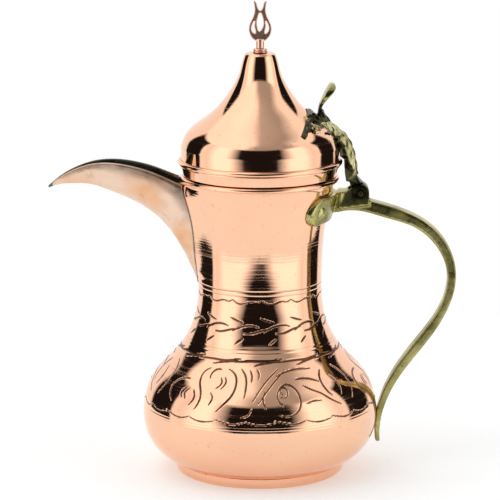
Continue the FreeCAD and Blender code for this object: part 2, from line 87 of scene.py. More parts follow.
# ---- engraving: (half width mm, [(degrees round the pot, height mm), ...]) ---------------------
CHAIN = [
    (0.8, [(-12, 91.4), (-6, 93.6), (0, 94.7), (6, 94.8), (11, 94.0)]),
    (0.8, [(-2, 90.3), (5, 90.5), (13, 92), (22, 93)]),
    (0.75, [(-15, 99), (-9, 97.6), (-3, 96.5)]),
    (0.75, [(-8, 84.5), (-5, 86), (-2, 87.3)]),
    (0.5, [(-13.8, 109.4), (-8, 107.4), (-2, 107.6), (5, 108.6), (10, 108.2), (13.8, 109.4)]),
]
CHAIN_REPEATS = 13
CHAIN_OFFSET = 40.0
GARLAND = [
    (0.75, [(-18, 75), (-6, 75.7), (6, 75.7), (16, 76.8)]),
    (0.65, [(-4, 73.4), (3, 74.6), (9, 75.2), (14, 75.6)]),
    (0.5, [(-7.5, 45.4), (-3, 43.8), (2, 43.6), (7.5, 44.8)]),
    (0.5, [(7, 45.8), (12, 44.4), (17, 43.6), (22.5, 45.2)]),
]
GARLAND_REPEATS = 12
FLORAL = [
    (0.6, [(-51, 51.5), (-54, 54.5), (-55.5, 59.5), (-52, 63), (-45, 64)]),
    (0.5, [(-45, 54.5), (-46.5, 57), (-44.5, 60)]),
    (0.5, [(-42.5, 54.5), (-44, 57), (-42, 60)]),
    (0.55, [(-39, 59.5), (-36.8, 55.5), (-38.8, 51.5)]),
    (0.6, [(-34, 71), (-38, 68), (-37.5, 64), (-34, 59), (-33, 54.5), (-35, 49.5)]),
    (0.6, [(-25.5, 71), (-30.5, 70), (-32, 67.5), (-31.5, 66)]),
    (0.5, [(-24.5, 67), (-23, 64.5), (-25.5, 61.5)]),
    (0.5, [(-22, 67.5), (-20.5, 65), (-22.5, 61.5)]),
    (0.65, [(-21, 71.5), (-15, 68), (-14, 64), (-15.5, 58.5), (-18.5, 54.5), (-22.5, 50)]),
    (0.6, [(-12.5, 72), (-9, 68.5), (-8, 63.5), (-8.5, 58)]),
    (0.5, [(-28, 59.5), (-26, 57), (-27, 53)]),
    (0.6, [(-4, 56), (-1, 61), (4, 66.5), (12, 72)]),
    (0.6, [(-1, 55), (3, 60.5), (8, 65.5), (15, 70.5)]),
    (0.55, [(-6.5, 71.5), (-5, 68.5), (-5.2, 65.5)]),
    (0.55, [(-2, 72), (-0.6, 69), (-1, 67)]),
    (0.55, [(-4.5, 52.5), (-6, 49), (-9.5, 47.5)]),
    (0.55, [(2.5, 61.5), (1.5, 57), (3, 52)]),
    (0.6, [(25, 63), (28.5, 61), (34, 58.5), (39.5, 54.5), (45, 51)]),
    (0.5, [(24, 54), (28, 55), (34, 54.5)]),
    (0.6, [(41, 69), (38, 65.5), (38, 61), (41, 56.5)]),
    (0.7, [(21.5, 66.5), (29, 66.3), (36.5, 64)]),
    (0.55, [(10, 68.5), (20.5, 71), (27.5, 71.2), (35.5, 70.5)]),
    (0.55, [(52, 70.5), (57.5, 66), (58, 59), (54, 52)]),
    (0.5, [(46, 66), (49, 61), (47.5, 56)]),
]
FLORAL_REPEATS = 3
# The big scroll in each floral band and its eye: centre, radius, half width, turns, number of parts.
SCROLLS = [((14.0, 57.5), 10.0, 0.75, 1.05, 12), ((12.6, 60.8), 3.2, 0.65, 1.0, 8)]
# Rings turned right round the pot: height, half width and share of the groove depth.
RINGS = [
    (114.2, 0.6, 0.5), (111.6, 0.6, 0.35), (81.2, 0.6, 0.25), (79.4, 0.6, 0.2),
    (41.4, 0.6, 0.12), (39.6, 0.6, 0.08),
]


def natural_spline(points):
    """Returns a function of 0..1 that runs smoothly through the points, by their distance apart."""
    points = np.array(points, float)
    gaps = np.linalg.norm(np.diff(points, axis=0), axis=1)
    knots = np.concatenate([[0], np.cumsum(gaps)])
    count = len(points)
    system = np.eye(count)
    right = np.zeros_like(points)
    for i in range(1, count - 1):
        system[i, i - 1:i + 2] = gaps[i - 1], 2 * (gaps[i - 1] + gaps[i]), gaps[i]
        after = (points[i + 1] - points[i]) / gaps[i]
        before = (points[i] - points[i - 1]) / gaps[i - 1]
        right[i] = 6 * (after - before)
    bend = np.linalg.solve(system, right)

    def curve(share):
        """Points at one or more shares of the way along."""
        place = np.atleast_1d(share) * knots[-1]
        i = np.clip(np.searchsorted(knots, place, "right") - 1, 0, count - 2)
        gap = gaps[i]
        a = ((knots[i + 1] - place) / gap)[:, None]
        b = 1 - a
        curved = (a**3 - a) * bend[i] + (b**3 - b) * bend[i + 1]
        return a * points[i] + b * points[i + 1] + curved * (gap[:, None] ** 2) / 6

    return curve


def mesh_object(name, verts, faces, body, normals=None):
    """Makes a smooth-shaded piece from vertices in millimetres, riding on a body."""
    mesh = bpy.data.meshes.new(name)
    mesh.from_pydata((np.array(verts) * MM).tolist(), [], faces)
    mesh.polygons.foreach_set("use_smooth", [True] * len(mesh.polygons))
    mesh.validate()
    piece = bpy.data.objects.new(name, mesh)
    bpy.context.scene.collection.objects.link(piece)
    if normals is not None:
        mesh.normals_split_custom_set_from_vertices(normals.tolist())
    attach(piece, body)
    return piece


def tag_finish(piece, darkening, tinned):
    """Stores the darkening of each point (red: groove patina with a painted dark reflection, painted shade
    on the castings, the spout's darker lip edges) and whether the sheet is tinned there (green), point by
    point.
    """
    layer = piece.data.color_attributes.new("finish", "FLOAT_COLOR", "POINT")
    count = len(piece.data.vertices)
    colours = np.zeros((count, 4))
    colours[:, 0] = darkening
    colours[:, 1] = tinned
    colours[:, 3] = 1
    layer.data.foreach_set("color", colours.ravel())


def grid_faces(rows, columns, close_rows, close_columns):
    """Quads over a rows x columns grid of vertices, joined up where a direction closes."""
    faces = []
    for i in range(rows if close_rows else rows - 1):
        low = i * columns
        high = (i + 1) % rows * columns
        for j in range(columns if close_columns else columns - 1):
            k = (j + 1) % columns
            faces.append((low + j, low + k, high + k, high + j))
    return faces


def lathe(name, profile, columns, body, closed=True):
    """Turns a profile of (radius, height) points round the pot's axis, closed into a ring of sheet."""
    profile = np.array(profile, float)
    turn = np.arange(columns) / columns * 2 * math.pi
    ring = np.stack([np.sin(turn), -np.cos(turn)], axis=1)
    verts = np.zeros((len(profile), columns, 3))
    verts[:, :, :2] = profile[:, 0, None, None] * ring[None]
    verts[:, :, 2] = profile[:, 1, None]
    faces = grid_faces(len(profile), columns, closed, True)
    return mesh_object(name, verts.reshape(-1, 3), faces, body)


# ---- body ---------------------------------------------------------------------------------------
outline = natural_spline(BODY_OUTLINE)
outline_points = outline(np.linspace(0, 1, 1200))


def body_radius(z):
    """Outer radius of the plain body at a height."""
    return np.interp(z, outline_points[:, 1], outline_points[:, 0])


# How far the neck swells out towards the spout that is let into it: height, swell in mm.
NECK_SWELL = [
    (112, 0), (119, 0.7), (127, 2.1), (135, 3.1), (149, 3.8), (158, 4.2), (166, 4.7), (172.5, 5.2),
    (174.5, 3.2), (176.2, 0),
]
SWELL_DEGREES = 21.0


def neck_swell(turn, z):
    """Extra radius of the neck at an angle (radians from the front) and height."""
    heights, swells = np.array(NECK_SWELL, float).T
    from_spout = (np.degrees(turn) + 90 + 180) % 360 - 180
    return np.interp(z, heights, swells) / (1 + (np.abs(from_spout) / SWELL_DEGREES) ** 6)


class Engraving:
    """Groove depth (0..1) over the rows and columns of the body, with its slope in mm per mm."""

    def __init__(self, heights, columns):
        self.heights = heights
        self.columns = columns
        self.step = 360 / columns
        self.radii = body_radius(heights)
        self.depth = np.zeros((len(heights), columns))
        self.along = np.zeros_like(self.depth)
        self.up = np.zeros_like(self.depth)

    def mark(self, rows, cols, depth, along, up):
        """Keeps the deeper of what is there and a new cut."""
        window = np.ix_(rows, cols % self.columns)
        deeper = depth > self.depth[window]
        self.depth[window] = np.where(deeper, depth, self.depth[window])
        self.along[window] = np.where(deeper, along, self.along[window])
        self.up[window] = np.where(deeper, up, self.up[window])

    def cut(self, start, end, width_start, width_end):
        """Cuts one straight run between two (degrees, height) points."""
        reach = max(width_start, width_end)
        low, high = sorted((start[1], end[1]))
        rows = np.where((self.heights > low - reach) & (self.heights < high + reach))[0]
        if len(rows) == 0:
            return
        scale = math.radians(1) * float(body_radius((low + high) / 2))
        left, right = sorted((start[0], end[0]))
        first = math.floor((left - reach / scale) / self.step)
        last = math.ceil((right + reach / scale) / self.step)
        cols = np.arange(first, last + 1)
        x = (cols * self.step * scale)[None, :] * np.ones((len(rows), 1))
        y = self.heights[rows][:, None] * np.ones((1, len(cols)))
        run = np.array([(end[0] - start[0]) * scale, end[1] - start[1]])
        from_x = x - start[0] * scale
        from_y = y - start[1]
        share = np.clip((from_x * run[0] + from_y * run[1]) / max(run @ run, 1e-9), 0, 1)
        off_x = from_x - share * run[0]
        off_y = from_y - share * run[1]
        away = np.hypot(off_x, off_y)
        width = width_start + (width_end - width_start) * share
        ratio = np.clip(away / width, 0, 1)
        depth = 0.5 + 0.5 * np.cos(math.pi * ratio)
        slope = -0.5 * math.pi * np.sin(math.pi * ratio) / width / np.maximum(away, 1e-6)
        self.mark(rows, cols, depth, slope * off_x, slope * off_y)

    def stroke(self, half_width, points, turn):
        """Cuts a curved stroke that narrows at both ends, turned round the pot by some degrees."""
        parts = 4 * (len(points) - 1)
        shares = np.linspace(0, 1, parts + 1)
        path = natural_spline(points)(shares)
        widths = half_width * (0.45 + 0.55 * np.sin(math.pi * shares) ** 0.6)
        for i in range(parts):
            start = (path[i, 0] + turn, path[i, 1])
            end = (path[i + 1, 0] + turn, path[i + 1, 1])
            self.cut(start, end, widths[i], widths[i + 1])

    def ring(self, height, half_width, share):
        """Turns a groove right round at one height."""
        away = self.heights - height
        rows = np.where(np.abs(away) < half_width)[0]
        ratio = away[rows] / half_width
        depth = share * (0.5 + 0.5 * np.cos(math.pi * ratio))
        slope = -share * 0.5 * math.pi * np.sin(math.pi * ratio) / half_width
        cols = np.arange(self.columns)
        flat = np.ones((1, self.columns))
        self.mark(rows, cols, depth[:, None] * flat, 0 * depth[:, None] * flat, slope[:, None] * flat)


def scroll(centre, radius, turns, count):
    """Points of a scroll that winds in towards its centre."""
    scale = math.radians(1) * float(body_radius(centre[1]))
    points = []
    for i in range(count + 1):
        share = i / count
        angle = math.radians(-120) + share * turns * 2 * math.pi
        reach = radius * (1 - 0.6 * share)
        points.append((centre[0] + reach * math.cos(angle) / scale, centre[1] + reach * math.sin(angle)))
    return points


def engrave(heights, columns):
    """Cuts the whole pattern: rings, neck chain, garlands and the flowers on the belly."""
    work = Engraving(heights, columns)
    for height, half_width, share in RINGS:
        work.ring(height, half_width, share)
    bands = (
        (CHAIN, CHAIN_REPEATS, CHAIN_OFFSET), (GARLAND, GARLAND_REPEATS, 0.0), (FLORAL, FLORAL_REPEATS, 0.0),
    )
    for strokes, repeats, offset in bands:
        for k in range(repeats):
            for half_width, points in strokes:
                work.stroke(half_width * STROKE_WIDEN, points, k * 360 / repeats - offset)
    for k in range(FLORAL_REPEATS):
        turn = k * 360 / FLORAL_REPEATS
        for centre, radius, half_width, turns, parts in SCROLLS:
            work.stroke(half_width, scroll(centre, radius, turns, parts), turn)
    return work


def body_rows():
    """Heights of the outer rows: close together where the pot is engraved."""
    foot = np.linspace(6.4, ENGRAVED_LOW, 18, endpoint=False)
    fine = np.arange(ENGRAVED_LOW, ENGRAVED_HIGH, ENGRAVED_STEP)
    neck = np.linspace(ENGRAVED_HIGH, MOUTH_Z - 2.2, 20)
    return np.concatenate([foot, fine, neck])


def make_body():
    """The raised sheet: skirt, belly, neck, a hem rolled over its wire, and the tinned inside."""
    heights = body_rows()
    outer_r = body_radius(heights)
    work = engrave(heights, BODY_COLUMNS)
    hem_centre = (MOUTH_R + 0.5, MOUTH_Z - HEM_R)
    hem = []
    for degrees in range(-60, 181, 24):
        angle = math.radians(degrees)
        hem.append((hem_centre[0] + HEM_R * math.cos(angle), hem_centre[1] + HEM_R * math.sin(angle)))
    inner_heights = np.linspace(MOUTH_Z - 3.5, 8.0, 34)
    inner = [(float(body_radius(z)) - SHEET, z) for z in inner_heights]
    skirt_inside = [(49.0, 6.2), (SKIRT_R - SHEET, 5.0), (SKIRT_R - SHEET, 1.0)]
    skirt_outside = [(SKIRT_R, 1.0), (SKIRT_R, SKIRT_TOP - 0.6), (49.6, SKIRT_TOP + 0.2)]
    plain = hem + inner + skirt_inside + skirt_outside
    profile = np.concatenate([np.stack([outer_r, heights], axis=1), np.array(plain)])
    rows = len(profile)
    count = len(heights)

    turn = np.arange(BODY_COLUMNS) / BODY_COLUMNS * 2 * math.pi
    swell = neck_swell(turn[None, :], profile[:, 1, None])
    for _ in range(3):
        swell[1:count - 1] = (swell[:count - 2] + 2 * swell[1:count - 1] + swell[2:count]) / 4
    radius = profile[:, 0, None] + swell
    radius[:count] -= GROOVE_DEPTH * work.depth
    verts = np.zeros((rows, BODY_COLUMNS, 3))
    verts[:, :, 0] = radius * np.sin(turn)
    verts[:, :, 1] = -radius * np.cos(turn)
    verts[:, :, 2] = profile[:, 1, None]

    behind = np.roll(profile, 1, axis=0)
    ahead = np.roll(profile, -1, axis=0)
    along = ahead - behind
    along /= np.linalg.norm(along, axis=1)[:, None]
    normal_r = np.repeat(along[:, 1, None], BODY_COLUMNS, axis=1)
    normal_z = np.repeat(-along[:, 0, None], BODY_COLUMNS, axis=1)
    normal_t = np.zeros_like(normal_r)
    normal_t[:count] = GROOVE_DEPTH * work.along
    normal_t -= np.gradient(swell, 2 * math.pi / BODY_COLUMNS, axis=1) / radius
    normal_z[:count] += GROOVE_DEPTH * work.up - np.gradient(swell[:count], heights, axis=0)
    normals = np.zeros_like(verts)
    normals[:, :, 0] = normal_r * np.sin(turn) + normal_t * np.cos(turn)
    normals[:, :, 1] = -normal_r * np.cos(turn) + normal_t * np.sin(turn)
    normals[:, :, 2] = normal_z
    normals /= np.linalg.norm(normals, axis=2)[:, :, None]

    faces = grid_faces(rows, BODY_COLUMNS, True, True)
    piece = mesh_object(
        "body_copper", verts.reshape(-1, 3), faces, "pot", normals.reshape(-1, 3)
    )
    # Darkening in the grooves: their dark patina plus a painted dark reflection.
    darkening = np.zeros((rows, BODY_COLUMNS))
    darkening[:count] = work.depth
    tinned = np.zeros((rows, BODY_COLUMNS))
    tinned[count + len(hem):count + len(hem) + len(inner)] = 1
    tag_finish(piece, darkening.ravel(), tinned.ravel())
    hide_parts("body_belly", "body_neck", "rim_wire")


# ---- lid ----------------------------------------------------------------------------------------
def offset_inward(points, thickness):
    """The same profile moved to the inside of the sheet, in reverse order."""
    points = np.array(points, float)
    along = np.gradient(points, axis=0)
    along /= np.linalg.norm(along, axis=1)[:, None]
    inside = points + np.stack([-along[:, 1], along[:, 0]], axis=1) * thickness
    return inside[::-1]


def make_lid():
    """The dome with its straight wall, and the flared band with the bead below it."""
    dome = natural_spline(LID_OUTLINE)(np.linspace(0, 1, 90))
    wall = [(WALL_R, z) for z in np.linspace(184.4, 193.8, 12)]
    outside = np.concatenate([np.array(wall), dome, [(7.5, 249.3), (4.5, 249.3)]])
    ring = np.concatenate([outside, offset_inward(outside, SHEET)])
    dome_piece = lathe("lid_dome_sheet", ring, LID_COLUMNS, "lid")
    tinned = np.repeat(np.arange(len(ring)) >= len(outside), LID_COLUMNS)
    tag_finish(dome_piece, 0, tinned)
    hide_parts("lid_dome")

    flare = natural_spline([BAND_BOTTOM, (45.7, 180.0), (46.6, 182.4), (47.3, 183.7)])(np.linspace(0, 1, 14))
    bead = []
    for degrees in range(-100, 101, 20):
        angle = math.radians(degrees)
        bead.append((BEAD_CENTRE_R + BEAD_HALF * math.cos(angle), BEAD_Z + BEAD_HALF * math.sin(angle)))
    inside = [(WALL_R + 0.02, 186.6), (WALL_R + 0.02, 184.0), (45.4, 182.2), (44.2, 178.0)]
    band = lathe("lid_band", list(map(tuple, flare)) + bead + inside, LID_COLUMNS, "lid")
    tag_finish(band, 0, 0)
    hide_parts("lid_rim_band")


# ---- spout --------------------------------------------------------------------------------------
def make_spout():
    """The open beak: a tapering trough of sheet whose root is cut to the neck."""
    stations = natural_spline(SPOUT_STATIONS)
    section = natural_spline(SPOUT_SECTION)
    across = 41
    along = 121
    shares = np.linspace(-1, 1, across)
    fine = np.linspace(0, 1, 1500)
    path = stations(fine)
    grid = np.zeros((along, across, 3))
    for j, share in enumerate(shares):
        down, wide = section(1 - abs(share))[0]
        x = path[:, 0] + down * (path[:, 2] - path[:, 0])
        z = path[:, 1] + down * (path[:, 3] - path[:, 1])
        y = np.sign(share) * wide * path[:, 4]
        clear = np.hypot(x, y) - body_radius(z) - neck_swell(np.arctan2(x, -y), z) > 0.05
        end = fine[clear][-1] if not clear.all() else 1.0
        pick = np.linspace(0, 1, along) * end
        grid[:, j, 0] = np.interp(pick, fine, x)
        grid[:, j, 1] = np.interp(pick, fine, y)
        grid[:, j, 2] = np.interp(pick, fine, z)
    tangent_along = np.gradient(grid, axis=0)
    tangent_across = np.gradient(grid, axis=1)
    normal = np.cross(tangent_along, tangent_across)
    normal /= np.maximum(np.linalg.norm(normal, axis=2)[:, :, None], 1e-9)
    middle = grid.mean(axis=1)[:, None, :]
    outward = np.sign(((grid - middle) * normal).sum(axis=2))[along // 2, across // 4]
    normal *= outward
    sheet = np.linspace(0, 1, along)[:, None, None]
    thick = TIP_SHEET + (SPOUT_SHEET - TIP_SHEET) * np.clip(sheet * 2.5, 0, 1)
    inner = grid - normal * thick
    lip_near = (grid[:, :1] + inner[:, :1]) / 2 + Vector((0, 0, 0.35))
    lip_far = (grid[:, -1:] + inner[:, -1:]) / 2 + Vector((0, 0, 0.35))
    loop = np.concatenate([grid, lip_far, inner[:, ::-1], lip_near], axis=1)
    columns = loop.shape[1]
    faces = grid_faces(along, columns, False, True)
    for start, flip in ((0, False), ((along - 1) * columns, True)):
        for j in range(across - 1):
            other = 2 * across - j
            face = (start + j, start + j + 1, start + other - 1, start + other)
            faces.append(face[::-1] if flip else face)
        for corner in ((across - 1, across, across + 1), (2 * across, 2 * across + 1, 0)):
            face = tuple(start + k for k in corner)
            faces.append(face[::-1] if flip else face)
    piece = mesh_object("spout_trough", loop.reshape(-1, 3), faces, "pot")
    tinned = np.zeros((along, columns))
    tinned[:, across + 1:2 * across + 1] = 1
    tinned[:4] = 1
    # Darker along the trough's two lip edges.
    darkening = np.zeros((along, columns))
    darkening[:, across] = 1
    darkening[:, -1] = 1
    tag_finish(piece, darkening.ravel(), tinned.ravel())
    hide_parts("spout_beak")
    solder_bead(grid[-1])


def solder_bead(path):
    """A thin fillet of solder that follows the joint of spout and neck."""
    sides = 10
    tangent = np.gradient(path, axis=0)
    tangent /= np.linalg.norm(tangent, axis=1)[:, None]
    outward = path * np.array([1, 1, 0])
    outward /= np.linalg.norm(outward, axis=1)[:, None]
    across = np.cross(tangent, outward)
    angles = np.arange(sides) / sides * 2 * math.pi
    out = np.cos(angles)[None, :, None] * outward[:, None, :]
    side = np.sin(angles)[None, :, None] * across[:, None, :]
    rings = path[:, None, :] + BEAD_TUBE_R * (out + side)
    faces = grid_faces(len(path), sides, False, True)
    last = (len(path) - 1) * sides
    faces.append(tuple(reversed(range(sides))))
    faces.append(tuple(last + k for k in range(sides)))
    piece = mesh_object("spout_solder", rings.reshape(-1, 3), faces, "pot")
    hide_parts("spout_solder_bead")


# ---- castings -------------------------------------------------------------------------------------
ARM_CREST = [(36, 216), (42, 207.8), (49.3, 201.8), (53.9, 194.3), (55.8, 187), (57.3, 177.5)]
LEAF_HALF = 8.4
LEAF_DROP = 5.2
LEAF_SHEET = 1.5
LEAF_TEETH = 7


def leaf_blade():
    """A bowed leaf along the arm: midrib, side veins and saw teeth. Returns vertices and faces."""
    along = 141
    across = 41
    crest = natural_spline(ARM_CREST)(np.linspace(0, 1, along))
    tangent = np.gradient(crest, axis=0)
    tangent /= np.linalg.norm(tangent, axis=1)[:, None]
    outward = np.stack([-tangent[:, 1], tangent[:, 0]], axis=1)
    if outward[along // 2, 0] < 0:
        outward = -outward
    share = np.linspace(0, 1, along)[:, None]
    side = np.linspace(-1, 1, across)[None, :]
    tooth = (share * LEAF_TEETH) % 1
    half = (1.6 + (LEAF_HALF - 1.6) * np.sin(math.pi * share**0.85) ** 0.75) * (0.88 + 0.16 * tooth)
    drop = LEAF_DROP * (half / LEAF_HALF) * side**2
    midrib = 0.55 * np.exp(-((side * half / 0.9) ** 2))
    veins = 0.22 * np.cos(2 * math.pi * (share * LEAF_TEETH - 1.1 * np.abs(side))) * (1 - side**8)
    layers = []
    for sheet in (0.0, LEAF_SHEET):
        lift = -drop + (midrib + veins) * (sheet == 0.0) - sheet
        points = np.zeros((along, across, 3))
        points[:, :, 0] = crest[:, 0, None] + outward[:, 0, None] * lift
        points[:, :, 1] = side * half
        points[:, :, 2] = crest[:, 1, None] + outward[:, 1, None] * lift
        layers.append(points)
    loop = np.concatenate([layers[0], layers[1][:, ::-1]], axis=1)
    columns = 2 * across
    faces = grid_faces(along, columns, False, True)
    last = (along - 1) * columns
    for j in range(across - 1):
        low = (j + 1, j, columns - 1 - j, columns - 2 - j)
        faces.append(low)
        faces.append(tuple(last + k for k in reversed(low)))
    return loop.reshape(-1, 3), faces


def casting(name, node, body, voxel, rounds, extra=None, shape=None):
    """Melts a CAD node, and anything added to it, into one skin and rounds its edges as a mould does."""
    work = bpy.data.meshes.new(name + "_work")
    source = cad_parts[node].data
    verts = [tuple(v.co) for v in source.vertices]
    if shape is not None:
        verts = [shape(*v) for v in verts]
    faces = [tuple(p.vertices) for p in source.polygons]
    if extra is not None:
        more, more_faces = extra
        faces += [tuple(k + len(verts) for k in face) for face in more_faces]
        verts += (more * MM).tolist()
    work.from_pydata(verts, [], faces)
    draft = bpy.data.objects.new(name + "_work", work)
    bpy.context.scene.collection.objects.link(draft)
    skin = draft.modifiers.new("skin", "REMESH")
    skin.mode = "VOXEL"
    skin.voxel_size = voxel * MM
    soften = draft.modifiers.new("soften", "SMOOTH")
    soften.factor = 0.5
    soften.iterations = rounds
    graph = bpy.context.evaluated_depsgraph_get()
    mesh = bpy.data.meshes.new_from_object(draft.evaluated_get(graph))
    bpy.data.objects.remove(draft)
    bpy.data.meshes.remove(work)
    mesh.name = name
    mesh.polygons.foreach_set("use_smooth", [True] * len(mesh.polygons))
    piece = bpy.data.objects.new(name, mesh)
    bpy.context.scene.collection.objects.link(piece)
    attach(piece, body)
    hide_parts(node)
    return piece


LUG_EASE = 5.7
LUG_KEEP = 0.35
CORE_KEEP = 0.42
# The dome's outline where the arm runs beside it: heights and radii.
DOME_HEIGHTS = [194.5, 200, 206, 211, 216]
DOME_RADII = [46.4, 44.3, 39.2, 32.5, 26.4]


def ease_lugs(x, y, z):
    """Brings the lugs' outer faces nearly flush with the strap."""
    proud = abs(y) - LUG_EASE * MM
    if proud > 0 and x > 50 * MM:
        y = math.copysign(LUG_EASE * MM + proud * LUG_KEEP, y)
    return x, y, z


def slim_core(x, y, z):
    """Narrows the arm under its leaf.

    Known fault: it also catches outer points of the foot and pulls them through the dome.
    """
    dome = np.interp(z / MM, DOME_HEIGHTS, DOME_RADII)
    if 176 * MM < z < 214 * MM and math.hypot(x, y) > (dome + 2.8) * MM:
        y *= CORE_KEEP
    return x, y, z


def blacken(piece, dark):
    """Stores the painted shade that a function gives for each point (millimetres)."""
    count = len(piece.data.vertices)
    points = np.zeros(count * 3)
    piece.data.vertices.foreach_get("co", points)
    tag_finish(piece, np.clip(dark(*(points.reshape(-1, 3) / MM).T), 0, 1), 0)


def lug_painted_shade(x, y, z):
    """Painted shade round the pin, on top of the handle's lugs."""
    return np.clip((z - 161.5) / 3, 0, 1) * np.clip((68.0 - x) / 2, 0, 1) * np.clip((x - 51.0) / 3, 0, 1)


def arm_painted_shade(x, y, z):
    """Painted shade: the leaf's drooped rim and the hollow under it, the knuckle, the stem of the thumb tab
    and the spread foot.
    """
    crest = natural_spline(ARM_CREST)(np.linspace(0, 1, 60))
    away = np.min(np.hypot(x[:, None] - crest[:, 0], z[:, None] - crest[:, 1]), axis=1)
    skin = LEAF_DROP * (y / LEAF_HALF) ** 2 + 1.0
    hollow = np.clip((away - skin) / 0.5, 0, 1) * (z < 217) * (np.abs(y) < 9.5)
    rim = np.clip((np.abs(y) - 6.3) / 0.8, 0, 1) * (z < 214)
    stem = (z > 209) * (z < 220) * (x > 30) * (np.abs(y) < 7)
    knuckle = np.clip((180 - z) / 3, 0, 1)
    return np.maximum.reduce([hollow, rim, stem * 1.0, knuckle])


def make_castings():
    """The handle, the lid's leaf arm and the finial, with painted shade on the first two."""
    handle = casting("handle_brass", "handle_casting", "pot", 0.55, 10, None, ease_lugs)
    # Painted shade on the lugs round the pin.
    blacken(handle, lug_painted_shade)
    arm = casting("lid_leaf_arm", "lid_arm", "lid", 0.4, 3, leaf_blade(), slim_core)
    # Painted shade on the leaf arm's rim, hollow, knuckle, stem and foot.
    blacken(arm, arm_painted_shade)
    casting("finial_flower", "finial_tulip", "lid", 0.22, 16)


# ---- materials ------------------------------------------------------------------------------------
PINK = (0.95, 0.55, 0.37)
PEACH = (0.97, 0.59, 0.38)
FINIAL_PINK = (0.88, 0.54, 0.42)
FINIAL_PEACH = (0.92, 0.6, 0.46)
BRASS_LIGHT = (0.52, 0.48, 0.19)
BRASS_DARK = (0.24, 0.21, 0.07)
# A lighter copy of the cast brass for the leaf arm: painted light on the leaf.
LEAF_LIGHT = (0.64, 0.61, 0.32)
LEAF_DARK = (0.42, 0.4, 0.16)
# Near-black brass for the hinge pin: painted shade at the hinge.
PIN_SHADE_LIGHT = (0.09, 0.08, 0.035)
PIN_SHADE_DARK = (0.04, 0.035, 0.015)


class Nodes:
    """Adds nodes to a tree and joins them up; a socket is linked and anything else is a value."""

    def __init__(self, tree):
        self.tree = tree

    def put(self, socket, value):
        """Links a socket to an input, or sets the input's own value."""
        if isinstance(value, bpy.types.NodeSocket):
            self.tree.links.new(value, socket)
        elif isinstance(value, tuple) and socket.type == "RGBA":
            socket.default_value = (*value, 1)
        else:
            socket.default_value = value

    def node(self, kind, inputs, **settings):
        """Adds a node, with its settings and its inputs."""
        node = self.tree.nodes.new(kind)
        for key, value in settings.items():
            setattr(node, key, value)
        for key, value in inputs.items():
            self.put(node.inputs[key], value)
        return node

    def math(self, operation, first, second=0.0):
        """The result of a sum on one or two numbers."""
        return self.node("ShaderNodeMath", {0: first, 1: second}, operation=operation).outputs[0]

    def span(self, value, low, high, to_low=0.0, to_high=1.0):
        """A number moved from one range to another, and held inside it."""
        inputs = {"Value": value, "From Min": low, "From Max": high, "To Min": to_low, "To Max": to_high}
        return self.node("ShaderNodeMapRange", inputs, clamp=True).outputs["Result"]

    def mix(self, share, first, second):
        """A colour between two others."""
        node = self.node("ShaderNodeMix", {}, data_type="RGBA")
        for index, value in ((0, share), (6, first), (7, second)):
            self.put(node.inputs[index], value)
        return node.outputs[2]

    def ramp(self, value, stops):
        """The colour at a number, between stops of (number, colour)."""
        node = self.node("ShaderNodeValToRGB", {0: value})
        elements = node.color_ramp.elements
        while len(elements) < len(stops):
            elements.new(0.5)
        for element, (place, colour) in zip(elements, stops):
            element.position = place
            element.color = (*colour, 1)
        return node.outputs["Color"]

    def noise(self, vector, scale, detail=3.0, distortion=0.0):
        """Cloudy noise over some coordinates."""
        inputs = {"Vector": vector, "Scale": scale, "Detail": detail, "Distortion": distortion}
        return self.node("ShaderNodeTexNoise", inputs).outputs["Fac"]

    def around(self, vector):
        """Share of a half turn from the front (-Y) round to the back, the same on both sides."""
        x, y, _ = self.node("ShaderNodeSeparateXYZ", {0: vector}).outputs
        angle = self.math("ARCTAN2", self.math("ABSOLUTE", x), self.math("MULTIPLY", y, -1.0))
        return self.math("DIVIDE", angle, math.pi)


class Paint(Nodes):
    """One metal (or plain) material built on the Principled shader."""

    def __init__(self, name, colour, roughness, metallic=1.0):
        self.material = bpy.data.materials.new(name)
        self.material.use_nodes = True
        super().__init__(self.material.node_tree)
        self.shader = self.tree.nodes["Principled BSDF"]
        self.shader.inputs["Metallic"].default_value = metallic
        self.shader.inputs["Roughness"].default_value = roughness
        self.shader.inputs["Base Color"].default_value = (*colour, 1)
        self.place = self.node("ShaderNodeTexCoord", {}).outputs["Object"]

    def stretched(self, scale):
        """The piece's own coordinates, scaled by a different amount along each axis."""
        inputs = {"Vector": self.place, "Scale": Vector(scale)}
        return self.node("ShaderNodeMapping", inputs).outputs["Vector"]

    def grain(self, scale, detail=3.0, distortion=0.0):
        """Cloudy noise over the piece's own coordinates."""
        return self.noise(self.place, scale, detail, distortion)

    def finish_tag(self):
        """The stored finish: share of darkening (groove patina with painted reflection, painted shade,
        darker lip edges), and share of tin.
        """
        layer = self.node("ShaderNodeVertexColor", {}, layer_name="finish")
        split = self.node("ShaderNodeSeparateColor", {"Color": layer.outputs["Color"]})
        return split.outputs["Red"], split.outputs["Green"]

    def bump(self, height, distance, below=None):
        """The normal of a bumpy skin, laid over another bump if there is one."""
        inputs = {"Height": height, "Distance": distance, "Strength": 1.0}
        if below is not None:
            inputs["Normal"] = below
        return self.node("ShaderNodeBump", inputs).outputs["Normal"]

    def connect(self, colour, rough=None, normal=None):
        """Joins the finished colour, roughness and bump to the shader and returns the material."""
        self.put(self.shader.inputs["Base Color"], colour)
        if rough is not None:
            self.put(self.shader.inputs["Roughness"], rough)
        if normal is not None:
            self.put(self.shader.inputs["Normal"], normal)
        return self.material


